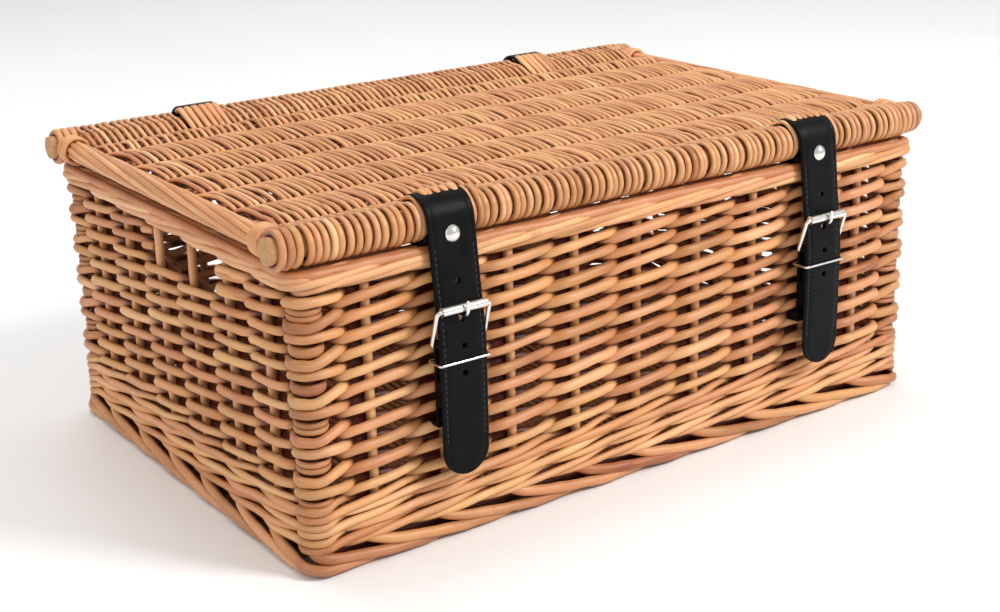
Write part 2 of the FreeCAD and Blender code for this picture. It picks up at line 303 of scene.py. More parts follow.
willow = willow_material()
cut_willow = cut_material()
leather = leather_material()
nickel = nickel_material()
thread = thread_material()


# ---------------- rods
def spline(points, step):
    """Smooth line through the points, sampled about every step."""
    p = np.asarray(points, float)
    q = np.vstack([2 * p[0] - p[1], p, 2 * p[-1] - p[-2]])
    runs = []
    for i in range(1, len(q) - 2):
        count = max(1, int(np.ceil(np.linalg.norm(q[i + 1] - q[i]) / step)))
        t = np.linspace(0, 1, count, endpoint=False)[:, None]
        a, b, c, d = q[i - 1:i + 3]
        runs.append(0.5 * (2 * b + (c - a) * t + (2 * a - 5 * b + 4 * c - d) * t ** 2
                           + (3 * b - a - 3 * c + d) * t ** 3))
    return np.vstack(runs + [p[-1:]])


def directions(points):
    """Unit direction of a line at each of its points."""
    steps = np.gradient(points, axis=0)
    return steps / np.linalg.norm(steps, axis=1)[:, None]


def distances(points):
    """Distance along a line to each of its points."""
    return np.concatenate([[0], np.cumsum(np.linalg.norm(np.diff(points, axis=0), axis=1))])


def pick_tone(mean, spread, low, high):
    """A random tone for one rod, where 0 is dark and 1 is pale."""
    return float(np.clip(rng.normal(mean, spread), low, high))


def show(name, data):
    """A new object in the scene."""
    piece = bpy.data.objects.new(name, data)
    bpy.context.collection.objects.link(piece)
    return piece


class Rods:
    """Gathers round rods into one mesh. shade gives each point's painted shade, 0 to 1."""

    def __init__(self, name, sides=8, shade=None):
        self.name = name
        self.sides = sides
        self.shade = shade
        self.points, self.centres = [], []
        self.quads, self.caps = [], []
        self.along, self.around, self.tint = [], [], []
        self.total = 0

    def add(self, line, radius, tint=None, up=(0, 0, 1), squeeze=1.0, slim=1.0):
        """One rod along a line of points; radius is one value or (start, end).

        squeeze flattens it across, and slim scales its thickness, also point by point.
        """
        line = np.asarray(line, float)
        count, sides = len(line), self.sides
        tangent = directions(line)
        side = np.cross(tangent, np.asarray(up, float))
        side /= np.linalg.norm(side, axis=1)[:, None]
        top = np.cross(side, tangent)
        steps = distances(line)
        ends = radius if isinstance(radius, tuple) else (radius, radius)
        width = np.interp(steps, (0, steps[-1]), ends) * slim
        wobble = 1.0
        for swell, pace in ((0.035, 210), (0.02, 530)):
            wobble = wobble + swell * np.sin(steps * pace + rng.uniform(0, 6))
        width = (width * wobble)[:, None, None]
        turn = np.linspace(0, 2 * math.pi, sides, endpoint=False)
        ring = (side[:, None] * np.cos(turn)[None, :, None] * squeeze
                + top[:, None] * np.sin(turn)[None, :, None])
        body = (line[:, None] + ring * width).reshape(-1, 3)
        start = self.total
        index = start + np.arange(count * sides).reshape(count, sides)
        right = np.roll(index, -1, axis=1)
        quads = np.stack([index[:-1], right[:-1], right[1:], index[1:]], -1).reshape(-1, 4)
        self.points += [body, line[:1], line[-1:]]
        self.centres += [np.repeat(line, sides, axis=0), line[:1], line[-1:]]
        self.quads.append(quads)
        first, last = start + count * sides, start + count * sides + 1
        for hub, loop, flip in ((first, index[0], True), (last, index[-1], False)):
            after = np.roll(loop, -1)
            pair = (after, loop) if flip else (loop, after)
            self.caps.append(np.stack([*pair, np.full(sides, hub)], -1))
        tone = pick_tone(0.56, 0.15, 0.08, 0.95) if tint is None else tint
        offset = rng.uniform(0, 40)
        self.along.append(np.concatenate([np.repeat(steps, sides) + offset, [offset, offset]]))
        self.around.append(np.concatenate([np.tile(np.abs(turn / math.pi - 1), count), [0.5, 0.5]]))
        self.tint.append(np.full(count * sides + 2, tone))
        self.total += count * sides + 2

    def build(self, body, *nodes):
        """The mesh object, riding on a body and standing for CAD nodes."""
        points = np.vstack(self.points).astype(np.float32)
        # depth holds each point's painted shade, which the willow material darkens the rod by.
        depth = np.zeros(len(points))
        if self.shade:
            depth = np.clip(self.shade(points, np.vstack(self.centres)), 0, 1)
        quads = np.vstack(self.quads).astype(np.int32)
        caps = np.vstack(self.caps).astype(np.int32)
        mesh = bpy.data.meshes.new(self.name)
        mesh.vertices.add(len(points))
        mesh.vertices.foreach_set("co", points.ravel())
        mesh.loops.add(quads.size + caps.size)
        mesh.loops.foreach_set("vertex_index", np.concatenate([quads.ravel(), caps.ravel()]))
        mesh.polygons.add(len(quads) + len(caps))
        starts = np.concatenate([np.arange(len(quads)) * 4, quads.size + np.arange(len(caps)) * 3])
        mesh.polygons.foreach_set("loop_start", starts.astype(np.int32))
        kinds = np.repeat([0, 1], [len(quads), len(caps)]).astype(np.int32)
        mesh.polygons.foreach_set("material_index", kinds)
        mesh.update(calc_edges=True)
        mesh.polygons.foreach_set("use_smooth", kinds == 0)
        for name, values in (("along", self.along), ("around", self.around), ("tint", self.tint),
                             ("depth", [depth])):
            layer = mesh.attributes.new(name, "FLOAT", "POINT")
            layer.data.foreach_set("value", np.concatenate(values).astype(np.float32))
        mesh.materials.append(willow)
        mesh.materials.append(cut_willow)
        piece = show(self.name, mesh)
        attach(piece, body)
        if nodes:
            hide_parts(*nodes)
        return piece


def facing(levels, centre_levels, radius):
    """Painted shade: 1 on the side of a rod that faces the middle of the weave and 0 on its outward side.
    """
    inward = (np.abs(centre_levels) - np.abs(levels)) / radius
    clear = np.interp(np.abs(centre_levels) / MM, (0.6, 2.4), (0, 1))
    return np.interp(inward, (0.05, 0.8), (0, 0.95)) * clear


def post_painted_shade(points, centres):
    """Painted shade: 1 in the crevices of the corner columns; their faces are a little darker too."""
    x = np.abs(points[:, 0]) - half_length + corner_radius
    y = np.abs(points[:, 1] - mid_y) - half_width + corner_radius
    corner_darkening = 0.27 * np.interp(np.minimum(x, y) / MM, (-6.0, 0.0), (0, 1))
    return np.maximum(np.interp(np.hypot(x, y) / MM, (7.6, 9.1), (0.9, 0)), corner_darkening)


def inside_face(points):
    """How far inside the nearest woven face each point is."""
    return np.minimum(half_length - np.abs(points[:, 0]), half_width - np.abs(points[:, 1] - mid_y))


def wall_painted_shade(points, centres):
    """Painted shade: 1 deep in a wall's thickness, where shade falls, and 0 near its faces."""
    inside, centre_inside = inside_face(points), inside_face(centres)
    outward = np.interp((centre_inside - inside) / rod_radius, (-0.6, 0.1), (0, 1))
    deep = outward * np.interp(inside / MM, (5.0, 8.4, 12.2, 15.0), (0, 1, 1, 0))
    turned = facing(inside + middle, centre_inside + middle, rod_radius)
    below_rim = np.interp((points[:, 2] - border_base) / MM, (2.0, 7.0), (1, 0))
    return below_rim * np.maximum.reduce([deep, turned, post_painted_shade(points, centres)])


def lid_painted_shade(points, centres):
    """Painted shade: 1 in the middle of the lid's thickness and deep between the turns on its sticks.

    The turns are a little darker all over than the field.
    """
    level, centre_level = points[:, 2] - rib_z, centres[:, 2] - rib_z
    upward = np.interp((level - centre_level) / MM, (-0.7, 0.2), (0, 1))
    flat = upward * np.interp(level / MM, (-4.2, -3.0, 0.6, 2.4), (0, 1, 1, 0))
    flat = np.maximum(flat, facing(level, centre_level, 1.3 * MM))
    reach = np.hypot(roll_y - np.abs(points[:, 1] - mid_y), points[:, 2] - roll_z) - stick_radius
    turns = np.interp(reach / MM, (0.8, 3.0), (1, 0.13))
    return np.where(reach < 4.6 * MM, turns, flat)


# ---------------- walls
def station_lengths():
    """Distance round the outer face, from the front left post, of every stake and post."""
    straight_x = 2 * (half_length - corner_radius)
    straight_y = 2 * (half_width - corner_radius)
    arc = corner_radius * math.pi / 2
    stations = [0.0]
    done = arc / 2
    for straight, half, count in ((straight_x, half_length, front_stakes),
                                  (straight_y, half_width, end_stakes)) * 2:
        pitch = 2 * half / (count + 1)
        stations += [done - corner_radius + pitch * (i + 1) for i in range(count)]
        done += straight + arc
        stations.append(done - arc / 2)
    return np.array(stations)


stations = station_lengths()
around_all = len(stations) - 1
perimeter = stations[-1]
post_stations = (0, 10, 17, 27)


def wall_point(u, out, z):
    """Point at station number u, this far out from the woven face, at height z."""
    s = np.interp(u % around_all, np.arange(around_all + 1), stations) % perimeter
    arc = corner_radius * math.pi / 2
    s = (s + arc / 2) % perimeter
    x, y = half_length - corner_radius, half_width - corner_radius
    corners = ((-x, -y), (x, -y), (x, y), (-x, y))
    runs = (2 * x, 2 * y, 2 * x, 2 * y)
    reach = corner_radius + out
    for i, (cx, cy) in enumerate(corners):
        start = math.pi + i * math.pi / 2
        if s <= arc:
            angle = start + s / corner_radius
            return (cx + reach * math.cos(angle), mid_y + cy + reach * math.sin(angle), z)
        s -= arc
        if s <= runs[i]:
            angle = start + math.pi / 2
            px = cx + reach * math.cos(angle) - s * math.sin(angle)
            py = cy + reach * math.sin(angle) + s * math.cos(angle)
            return (px, mid_y + py, z)
        s -= runs[i]
    return (corners[0][0] - reach, mid_y + corners[0][1], z)


row_spacing = np.linspace(11.3, 9.3, row_count) * MM
row_height = weave_base + np.cumsum(row_spacing) - row_spacing / 2
outer = -rod_radius
middle = -7.6 * MM
inner = -12.4 * MM
post_inner = -corner_radius - 6.2 * MM - rod_radius
corner_spread = 0.225  # stations for which a rod keeps its depth beside a post
hold = 0.24  # and beside a stake
crossing_rise = 1.3 * MM
crossing_fall = 3.7 * MM
slope = 3.9 * MM  # climb of a rod in front of a stake, for each station


def is_post(k):
    return k % around_all in post_stations


def pair_controls(row, strand, first, last):
    """Control points of one rod of a pair, twisted with the other round the stakes."""
    points = []
    for k in range(first, last + 1):
        outside = (k + strand) % 2 == 0
        rise = 1 if outside else -1
        level = row_height[row] + wall_wave[row, k % around_all]
        if is_post(k):
            if outside:
                pinch = 0.21 * row_spacing[row] * (1 if row % 2 == 0 else -1)
                for step in (-corner_spread, 0, corner_spread):
                    points.append(wall_point(k + step, outer, level + pinch))
            else:
                points.append(wall_point(k, post_inner, level))
        else:
            at = (outer if outside else inner) + rng.normal(0, 0.3 * MM)
            climb = slope * rng.uniform(0.6, 1.3)
            for step in (-hold, 0, hold):
                if first < k + step < last or step == 0:
                    bow = 0.4 * MM * rise * abs(step) / hold
                    lift = rise * climb * step
                    points.append(wall_point(k + step, at - bow, level + lift))
        if k < last:
            side = 0.56 if is_post(k) else 0.44 if is_post(k + 1) else 0.5
            crossing = middle + rise * 1.9 * MM + rng.normal(0, 0.3 * MM)
            lift = crossing_rise if outside else -crossing_fall
            points.append(wall_point(k + side, crossing, level + lift))
    return points


def hole_turn(k, outside, level):
    """Start of a rod at a hand hole: its tip is inside, and it turns round the stake k."""
    back = inner if outside else outer
    turn = ((0.62, inner, 0.0), (0.5, middle, 0.4), (0.25, back, 0.6), (-0.02, back, 0.0),
            (-0.135, middle, 0.0))
    return [wall_point(k + step, out, level + lift * MM) for step, out, lift in turn]


# The rows aren't quite level, and those under a hand hole are pressed down.
wall_wave = np.cumsum(rng.normal(0, 0.2 * MM, (row_count, around_all)), axis=0)
wall_wave += rng.normal(0, 0.34 * MM, (row_count, around_all))
wall_wave[:, list(post_stations)] *= 0.4
for hole_stations in (slice(12, 15), slice(30, 33)):
    wall_wave[6:9, hole_stations] -= np.array([[0.7], [1.5], [2.4]]) * MM


def on_end_wall(line):
    """1 along the end walls, where the rods are slimmer, and 0 on the long walls."""
    from_corner = half_width - np.abs(line[:, 1] - mid_y)
    in_end = np.abs(line[:, 0]) > half_length - 24 * MM
    return np.interp(from_corner / MM, (10.0, 26.0), (0, 1)) * in_end


def weave_rod(rods, row, strand, first, last, turn_start=False, stop_behind=False):
    """One weaver, from station first to last. It can start with a turn or stop at a stake."""
    points = pair_controls(row, strand, first, last)
    level = row_height[row]
    if turn_start:
        points = hole_turn(first, (first + strand) % 2 == 0, level - 1.6 * MM) + points
    if stop_behind:
        out = outer if (last + strand) % 2 == 0 else inner
        points[-2:] = [wall_point(last - 0.3, out * 0.6 + middle * 0.4, level),
                       wall_point(last - 0.12, middle, level)]
    thick = rod_radius * rng.uniform(0.94, 1.12)
    thin = rod_radius * rng.uniform(0.72, 0.94)
    ends = (thick, thin) if rng.random() < 0.5 else (thin, thick)
    line = spline(points, rod_step)
    rods.add(line, ends, slim=1 - 0.13 * on_end_wall(line))


def woven_rows():
    """Pairs of rods round the whole body; the top two rows stop at the hand holes.

    A rod is a few stakes long, and the next one starts where it ends. The top rows run from the
    right hole round the back to the left one, and from there round the front.
    """
    groups = ((0, 1, 2), (3, 4, 5), (6, 7, 8), (9, 10))
    past_holes = ((14, 30), (32, 46))
    for number, rows in enumerate(groups):
        rods = Rods(f"wall_weave_{number + 1}", shade=wall_painted_shade)
        for row in rows:
            for strand in (0, 1):
                if row < hole_row:
                    k = int(rng.integers(0, 6)) * 2 + (1 - strand)
                    stop = k + around_all
                    while k < stop:
                        after = min(stop, k + 2 * int(rng.integers(4, 8)))
                        weave_rod(rods, row, strand, k, after)
                        k = after
                else:
                    for first, last in past_holes:
                        cut = first + 2 * int(rng.integers(3, 5)) + (first + strand + 1) % 2
                        weave_rod(rods, row, strand, first, cut, turn_start=True)
                        weave_rod(rods, row, strand, cut, last, stop_behind=True)
        replaced = ("wall_front", "wall_back", "wall_left", "wall_right") if number == 0 else ()
        rods.build("basket", *replaced)


def waling():
    """Three bands of three rods: each passes in front of two stakes and behind one.

    A band starts and ends at the back. Its first rod goes on for one more pass, to close it.
    """
    rods = Rods("bottom_waling", shade=wall_painted_shade)
    radius = 2.3 * MM
    height = (weave_base - wale_base) / 3
    steps = ((0, inner, -0.4), (0.5, middle, -3.6), (1, outer, -2.0), (1.5, outer, 0),
             (2, outer, 2.0), (2.5, middle, 3.6))
    for band in range(3):
        z = wale_base + height * (band + 0.5)
        for strand in range(3):
            k = 20 + strand + band
            end = k + (36 if strand == 0 else 33)
            while k < end:
                points = []
                stop = min(end, k + 3 * int(rng.integers(2, 4)))
                for base in range(k, stop, 3):
                    for step, out, rise in steps:
                        at = base + step
                        level = z + rise * MM + rng.normal(0, 0.3 * MM)
                        if not (step % 1 == 0 and is_post(int(at))):
                            points.append(wall_point(at, out + rng.normal(0, 0.2 * MM), level))
                        elif out == outer:
                            for shift in (-corner_spread, 0, corner_spread):
                                points.append(wall_point(at + shift, out, level))
                        else:
                            points.append(wall_point(at, post_inner, level))
                points.append(wall_point(stop, inner, z))
                ends = tuple(radius * rng.uniform(0.85, 1.12) for _ in range(2))
                rods.add(spline(points, rod_step), ends, pick_tone(0.66, 0.14, 0.1, 0.98))
                k = stop
    rods.build("basket", "bottom_wale")


def slanted_rods(rods, profile, radius, spread, tint):
    """One rod for each stake, which follows a profile of (stations on, out, height)."""
    for k in range(around_all):
        shift = rng.normal(0, 0.05)
        points = []
        for on, out, z in profile:
            wave = rng.normal(0, spread)
            points.append(wall_point(k + on + shift, out + rng.normal(0, spread * 0.5), z + wave))
        ends = (radius * rng.uniform(0.95, 1.08), radius * rng.uniform(0.82, 0.95))
        tone = pick_tone(*tint, 0.03, 0.98)
        rods.add(spline(points, 2.4 * MM), ends, tone)


def fine_profile(stops, base):
    """A profile with points close enough to go round a corner.

    The stops are (stations on, out, height above the base), in stations and millimetres.
    """
    grid = np.arange(stops[0][0], stops[-1][0] + 1e-6, 0.2)
    smooth = spline(stops, 0.05)
    outs = np.interp(grid, smooth[:, 0], smooth[:, 1]) * MM
    heights = base + np.interp(grid, smooth[:, 0], smooth[:, 2]) * MM
    return list(zip(grid, outs, heights))


def foot():
    """Foot border: each stake's end is turned down to the right and lies along the bottom."""
    rods = Rods("foot_rods", shade=wall_painted_shade)
    stops = ((-0.2, -8.0, 17.0), (0.0, -4.6, 12.6), (0.25, -2.6, 9.6), (0.6, -1.8, 7.4),
             (1.0, -1.6, 5.2), (1.4, -2.0, 3.6), (1.9, -4.5, 3.3), (2.4, -9.5, 3.4))
    slanted_rods(rods, fine_profile(stops, 0), 3.15 * MM, 0.12 * MM, (0.42, 0.14))
    core_radius = 2.9 * MM
    for out, z in ((-10.5, 9.5), (-14.2, 4.0)):
        line = [wall_point(u, out * MM, z * MM) for u in np.arange(0, around_all + 0.01, 0.25)]
        rods.add(spline(line, 4 * MM), core_radius)
    rods.build("basket", "foot_border")


def border():
    """Top border: rods that climb slowly to the right over one another, on a core of four rods."""
    rods = Rods("border_rods", shade=wall_painted_shade)
    stops = ((-0.35, -9.0, -1.2), (0.0, -4.2, 0.6), (0.4, -1.4, 2.0), (1.0, -0.8, 3.8),
             (1.7, -0.8, 6.0), (2.2, -2.4, 7.5), (2.6, -6.2, 8.5), (2.9, -10.0, 8.5))
    slanted_rods(rods, fine_profile(stops, border_base), 2.35 * MM, 0.14 * MM, (0.7, 0.13))
    for out, z, radius in ((-2.4, 1.6, 2.7), (-7.6, 2.2, 2.5), (-12.4, 2.4, 2.4), (-13.6, 7.0, 2.4)):
        level = border_top - z * MM
        line = [wall_point(u, out * MM, level + rng.normal(0, 0.12 * MM))
                for u in np.arange(22.5, 22.5 + around_all + 0.01, 0.25)]
        rods.add(spline(line, 4 * MM), radius * MM, 0.34)
    rods.build("basket", "top_border")


def uprights():
    """Stakes and corner posts, and the turns of willow that pack the posts between the rows.

    The rows close up in pairs at a post. Each gap between the pairs takes one thick turn or two
    thin ones.
    """
    rods = Rods("stakes", sides=10, shade=post_painted_shade)
    foot_z, head_z = 15.0 * MM, 153.5 * MM
    post_radius = 5.4 * MM
    for k in range(around_all):
        post = is_post(k)
        out = -corner_radius if post else middle
        radius = post_radius if post else stake_radius
        line = [wall_point(k, out + (0 if post else rng.normal(0, 0.2 * MM)), z)
                for z in np.linspace(foot_z, head_z, 24)]
        rods.add(line, radius, float(rng.uniform(0.42, 0.78)), up=(1, 0.3, 0))
    for k in post_stations:
        cx, cy, _ = wall_point(k, -corner_radius, 0)
        for pair in range(6):
            below = row_height[2 * pair - 1] if pair else row_height[0] - 11.2 * MM
            z = (below + row_height[2 * pair]) / 2
            double = rng.random() < 0.5
            for lift in ((-1.75, 1.75) if double else (0,)):
                reach, thick, squeeze = (7.6, 1.8, 0.85) if double else (7.4, 3.3, 0.55)
                line = [(cx + reach * MM * math.cos(a), cy + reach * MM * math.sin(a),
                         z + lift * MM + 0.4 * MM * math.sin(a + k))
                        for a in np.linspace(0, 2 * math.pi, 37)]
                rods.add(line, thick * MM, float(rng.uniform(0.25, 0.5)), squeeze=squeeze)
    names = [f"corner_post_{y}_{x}" for y in ("front", "back") for x in ("left", "right")]
    names += [f"stakes_{side}" for side in ("front", "back", "left", "right")]
    rods.build("basket", *names)


# ---------------- base and lid fields
def base():
    """Base: sticks from end to end and weavers over and under them."""
    low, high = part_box("base_weave")
    z = (low.z + high.z) / 2
    sticks = Rods("base_stick_rods", sides=10)
    stick_count = 5
    base_stick_radius = 2.3 * MM
    span = 2 * (half_width - wall_thickness)
    ys = [mid_y - span / 2 + span / (stick_count + 1) * (i + 1) for i in range(stick_count)]
    for y in ys:
        line = [(x, y, z) for x in np.linspace(low.x + 3 * MM, high.x - 3 * MM, 60)]
        sticks.add(line, base_stick_radius)
    sticks.build("basket", "base_sticks")
    rods = Rods("base_rods", sides=6)
    radius = 1.6 * MM
    pitch = 2.75 * MM
    rise = high.z - z - radius
    crossings = [low.y - 2 * MM] + ys + [high.y + 2 * MM]
    count = int((high.x - low.x) / pitch)
    for i, x in enumerate(np.linspace(low.x + 2 * MM, high.x - 2 * MM, count)):
        points = []
        for j, y in enumerate(crossings):
            sign = 1 if (i + j) % 2 == 0 else -1
            points.append((x + rng.normal(0, 0.2 * MM), y, z + sign * rise))
        points[0] = (x, crossings[0], z)
        points[-1] = (x, crossings[-1], z)
        rods.add(spline(points, 5 * MM), radius, up=(1, 0, 0))
    rods.build("basket", "base_weave")


def circle_points(cy, cz, radius, angles, x):
    """Points round a stick, at angles in degrees that start at the back and go over the top."""
    return [(x, cy + radius * math.cos(a), cz + radius * math.sin(a)) for a in np.radians(angles)]


def near_strap(x, margin):
    """Whether x is within a strap's width, made wider by a margin on each side."""
    return abs(abs(x) - strap_x) < strap_width / 2 + margin


def lid_weaver(i, x):
    """One lid weaver: over and under the ribs, and once round the front or the back stick.

    Where it dives behind a rib it leans to the left and lies on its neighbours. At a strap it
    starts on top of the leather instead of going round the stick, and beside one it climbs.
    """
    front, back = mid_y - roll_y, mid_y + roll_y
    at_strap = near_strap(x, -1.2 * MM)
    beside_strap = near_strap(x, 4.0 * MM)
    pitch = 2 * roll_y / (rib_count + 1)
    rise = rib_radius + 1.7 * MM
    wrap = stick_radius + 2.3 * MM
    drift = rng.uniform(0.6, 3.2) * MM
    points = []
    if i % 2 == 0 and at_strap:
        for angle, reach in ((108, 11.4), (98, 13.3), (84, 14.0), (62, 14.2), (44, 13.7)):
            points += circle_points(front, roll_z, reach * MM, (angle,), x + drift * 0.5)
        points.append((x + drift * 0.3, front + 0.42 * pitch, roll_z + 6.6 * MM))
    elif i % 2 == 0:
        points += circle_points(front, roll_z, wrap, (-60, -90, -120, -150, 180, 150), x + drift)
        for angle, climb in ((120, 0.6), (90, 2.4), (64, 3.0)):
            reach = wrap + (climb * MM if beside_strap else 0)
            points += circle_points(front, roll_z, reach, (angle,), x + drift)
        points.append((x + drift * 0.3, front + 0.36 * pitch, roll_z + 6.6 * MM))
    else:
        points.append((x, front + 2 * MM, roll_z - wrap + 1 * MM))
    for j in range(1, rib_count + 1):
        y = front + pitch * j
        if (i + j) % 2 == 0:
            lean = rng.normal(4.4, 1.7) * MM
            sway = rng.normal(0, 0.4 * MM)
            top = rib_z + rise + rng.normal(0, 0.35 * MM)
            if j > 1:
                points.append((x + sway, y - 0.5 * pitch, rib_z - 0.8 * MM))
            points.append((x + sway, y - 0.34 * pitch, rib_z + 3.2 * MM))
            points.append((x + sway, y, top))
            if j < rib_count:
                points.append((x + sway, y + 0.28 * pitch, rib_z + 4.3 * MM))
                points.append((x - 0.45 * lean, y + 0.46 * pitch, rib_z + 4.0 * MM))
                points.append((x - lean, y + 0.62 * pitch, rib_z + 1.6 * MM))
        else:
            points.append((x, y, rib_z - rise))
    if i % 2 == 1 and at_strap:
        points.append((x, back - 0.42 * pitch, roll_z + 7.0 * MM))
        for angle, reach in ((130, 13.8), (118, 13.5), (108, 12.6), (96, 10.6)):
            points += circle_points(back, roll_z, reach * MM, (angle,), x)
    elif i % 2 == 1:
        points.append((x, back - 0.36 * pitch, roll_z + 6.6 * MM))
        angles = (116, 90, 60, 30, 0, -30, -60, -90, -120)
        points += circle_points(back, roll_z, wrap, angles, x - drift * 0.5)
    else:
        points.append((x, back - 2 * MM, roll_z - wrap + 1 * MM))
    return points


def lid_field():
    """The lid's weavers, in four strips."""
    field_radius, wrapped_radius = 1.42 * MM, 2.6 * MM
    pitch = 2.36 * MM
    reach = edge_low.x - 1.6 * MM
    count = int(2 * reach / pitch)
    xs = np.linspace(-reach, reach, count) + rng.normal(0, 0.28 * MM, count)
    strips = 4
    for strip in range(strips):
        rods = Rods(f"lid_weavers_{strip + 1}", sides=7, shade=lid_painted_shade)
        chosen = range(strip * count // strips, (strip + 1) * count // strips)
        for i in chosen:
            line = spline(lid_weaver(i, xs[i]), rod_step)
            field = field_radius * rng.uniform(0.88, 1.18)
            wrapped = wrapped_radius * rng.uniform(0.82, 1.08)
            ends = (wrapped, field) if i % 2 == 0 else (field, wrapped)
            add_tapered(rods, line, ends, i % 2 == 0)
        replaced = ("lid_weave", "lid_front_wrap", "lid_back_wrap") if strip == 0 else ()
        rods.build("lid", *replaced)
    rolls_beyond_field(xs[0], xs[-1])


def add_tapered(rods, line, ends, wrap_first):
    """A weaver that is thickest, and flattened, where it is wrapped round a stick."""
    steps = distances(line)
    wrapped_length = 46 * MM
    flat = 0.74
    k = int(np.searchsorted(steps, wrapped_length if wrap_first else steps[-1] - wrapped_length))
    tone = pick_tone(0.60, 0.13, 0.1, 0.95)
    if wrap_first:
        rods.add(line[:k + 1], ends, tone, up=(1, 0, 0), squeeze=flat)
        rods.add(line[k:], ends[1], tone, up=(1, 0, 0))
    else:
        rods.add(line[:k + 1], ends[0], tone, up=(1, 0, 0))
        rods.add(line[k:], ends, tone, up=(1, 0, 0), squeeze=flat)


def rolls_beyond_field(low_x, high_x):
    """Turns of willow round the ends of both sticks, outside the lid field, slimmer at the right."""
    rods = Rods("roll_end_wraps", shade=lid_painted_shade)
    turn_pitch = 4.3 * MM
    for side in (-1, 1):
        y = mid_y + side * roll_y
        for x_from, x_to in ((low_x - 1 * MM, -wrap_end), (high_x + 1 * MM, wrap_end)):
            turns = max(2, int(abs(x_to - x_from) / turn_pitch))
            for turn in range(turns):
                x0 = x_from + (x_to - x_from) * (turn + 0.5) / turns
                slim = 1 - 0.35 * (turn + 1) / turns if x_to > 0 else 1.0
                wrap = stick_radius + 1.9 * MM * slim
                line = [(x0 + 0.6 * MM * math.sin(a), y + wrap * math.cos(a), roll_z + wrap * math.sin(a))
                        for a in np.linspace(0, 2 * math.pi, 33)]
                thick = 2.35 * MM * rng.uniform(0.95, 1.05)
                rods.add(line, thick, up=(1, 0, 0), squeeze=0.85 * slim)
    rods.build("lid")


def lid_sticks():
    """The lid's two bare sticks and its ribs."""
    rods = Rods("lid_stick_rods", sides=20)
    for side in (-1, 1):
        line = [(x, mid_y + side * roll_y, roll_z) for x in np.linspace(-stick_end, stick_end, 90)]
        rods.add(line, stick_radius * 0.97, 0.4)
    rods.build("lid", "lid_front_stick", "lid_back_stick")
    ribs = Rods("lid_rib_rods", sides=10)
    pitch = 2 * roll_y / (rib_count + 1)
    for j in range(1, rib_count + 1):
        y = mid_y - roll_y + pitch * j
        reach = edge_low.x + 3 * MM
        # The ribs get a dark tone of 0.15, as painted shade in the gaps of the lid.
        ribs.add([(x, y, rib_z) for x in np.linspace(-reach, reach, 90)], rib_radius, 0.15)
    ribs.build("lid", "lid_ribs")


def rope(rods, x, y0, y1, turns):
    """Nine rods laid side by side and slowly twisted round a core, from y0 to y1."""
    strands = 9
    radius, core_radius, core = 1.75 * MM, 2.4 * MM, 4.6 * MM
    tones = (0.5, 0.68, 0.4, 0.74, 0.56)
    for strand in range(strands):
        phase = 2 * math.pi * strand / strands
        points = []
        for t in np.linspace(0, 1, 40):
            angle = phase + turns * 2 * math.pi * t
            points.append((x + core * 0.95 * math.cos(angle), y0 + (y1 - y0) * t,
                           edge_z + core * math.sin(angle)))
        rods.add(spline(points, 3 * MM), radius, tones[strand % len(tones)], up=(1, 0, 0))
    rods.add([(x, y, edge_z) for y in np.linspace(y0, y1, 60)], core_radius, 0.3, up=(1, 0, 0))


def lid_edges():
    """Rope-like borders at both ends of the lid, and the coils that bind the corners."""
    rods = Rods("lid_edge_rods", sides=10)
    for side in (-1, 1):
        reach = edge_y + 6 * MM
        rope(rods, side * edge_x, mid_y - reach, mid_y + reach, 0.7 * side)
    rods.build("lid", "lid_border_left", "lid_border_right")
    coils = Rods("corner_coils", sides=7)
    coil_turns = 4
    for x_side in (-1, 1):
        for y_side in (-1, 1):
            y0 = mid_y + y_side * (edge_y - 9.5 * MM)
            y1 = mid_y + y_side * (edge_y - 0.5 * MM)
            for turn in range(coil_turns):
                y = y0 + (y1 - y0) * (turn + rng.uniform(0.35, 0.65)) / coil_turns
                tilt = rng.normal(0, 0.8 * MM)
                line = [(x_side * edge_x + 7.7 * MM * math.cos(a), y + tilt * math.cos(a),
                         edge_z + 7.8 * MM * math.sin(a)) for a in np.linspace(0, 2 * math.pi, 33)]
                coils.add(line, 1.25 * MM, float(rng.uniform(0.45, 0.75)), up=(0, 1, 0))
    coils.build("lid", "lid_corner_bindings")


# ---------------- leather
crease_inset = 2.7 * MM


def leather_mesh(name, line, width, thickness, tip=False, grooves=True):
    """Strip of leather along a line in the YZ plane, with soft edges and creased lines."""
    x_mid = line[0][0]
    points = np.asarray(line, float)
    normal = np.cross(directions(points), (1, 0, 0))
    half = width / 2
    crease = half - crease_inset
    across = (half, half - 0.25 * MM, half - 0.8 * MM, crease + 0.45 * MM, crease, crease - 0.45 * MM,
              half * 0.55, half * 0.2)
    depth = (0.0, 0.62, 0.96, 1.0, 0.80 if grooves else 1.0, 1.0, 1.0, 1.0)
    right_half = list(zip(across, depth))
    top = [(-a, d) for a, d in right_half] + right_half[::-1]
    loop = top + [(a, -d) for a, d in top[-2:0:-1]]
    shrink = np.ones(len(points))
    if tip:
        steps = distances(points)
        near = np.clip(1 - (steps[-1] - steps) / half, 0, 1)
        shrink = np.sqrt(np.clip(1 - near ** 2, 0.0004, 1))
    verts, faces = [], []
    for point, n, scale in zip(points, normal, shrink):
        for a, d in loop:
            verts.append((x_mid + a * scale, *(point + n * d * thickness / 2)[1:]))
    count = len(loop)
    for i in range(len(points) - 1):
        for j in range(count):
            a, b = i * count + j, i * count + (j + 1) % count
            faces.append((a, b, b + count, a + count))
    faces.append(tuple(range(count))[::-1])
    faces.append(tuple(range((len(points) - 1) * count, len(points) * count)))
    mesh = bpy.data.meshes.new(name)
    mesh.from_pydata(verts, [], faces)
    mesh.polygons.foreach_set("use_smooth", [True] * len(mesh.polygons))
    mesh.materials.append(leather)
    return show(name, mesh)


def front_y(out):
    """Y of a face this many millimetres in front of the front wall."""
    return mid_y - half_width - out * MM


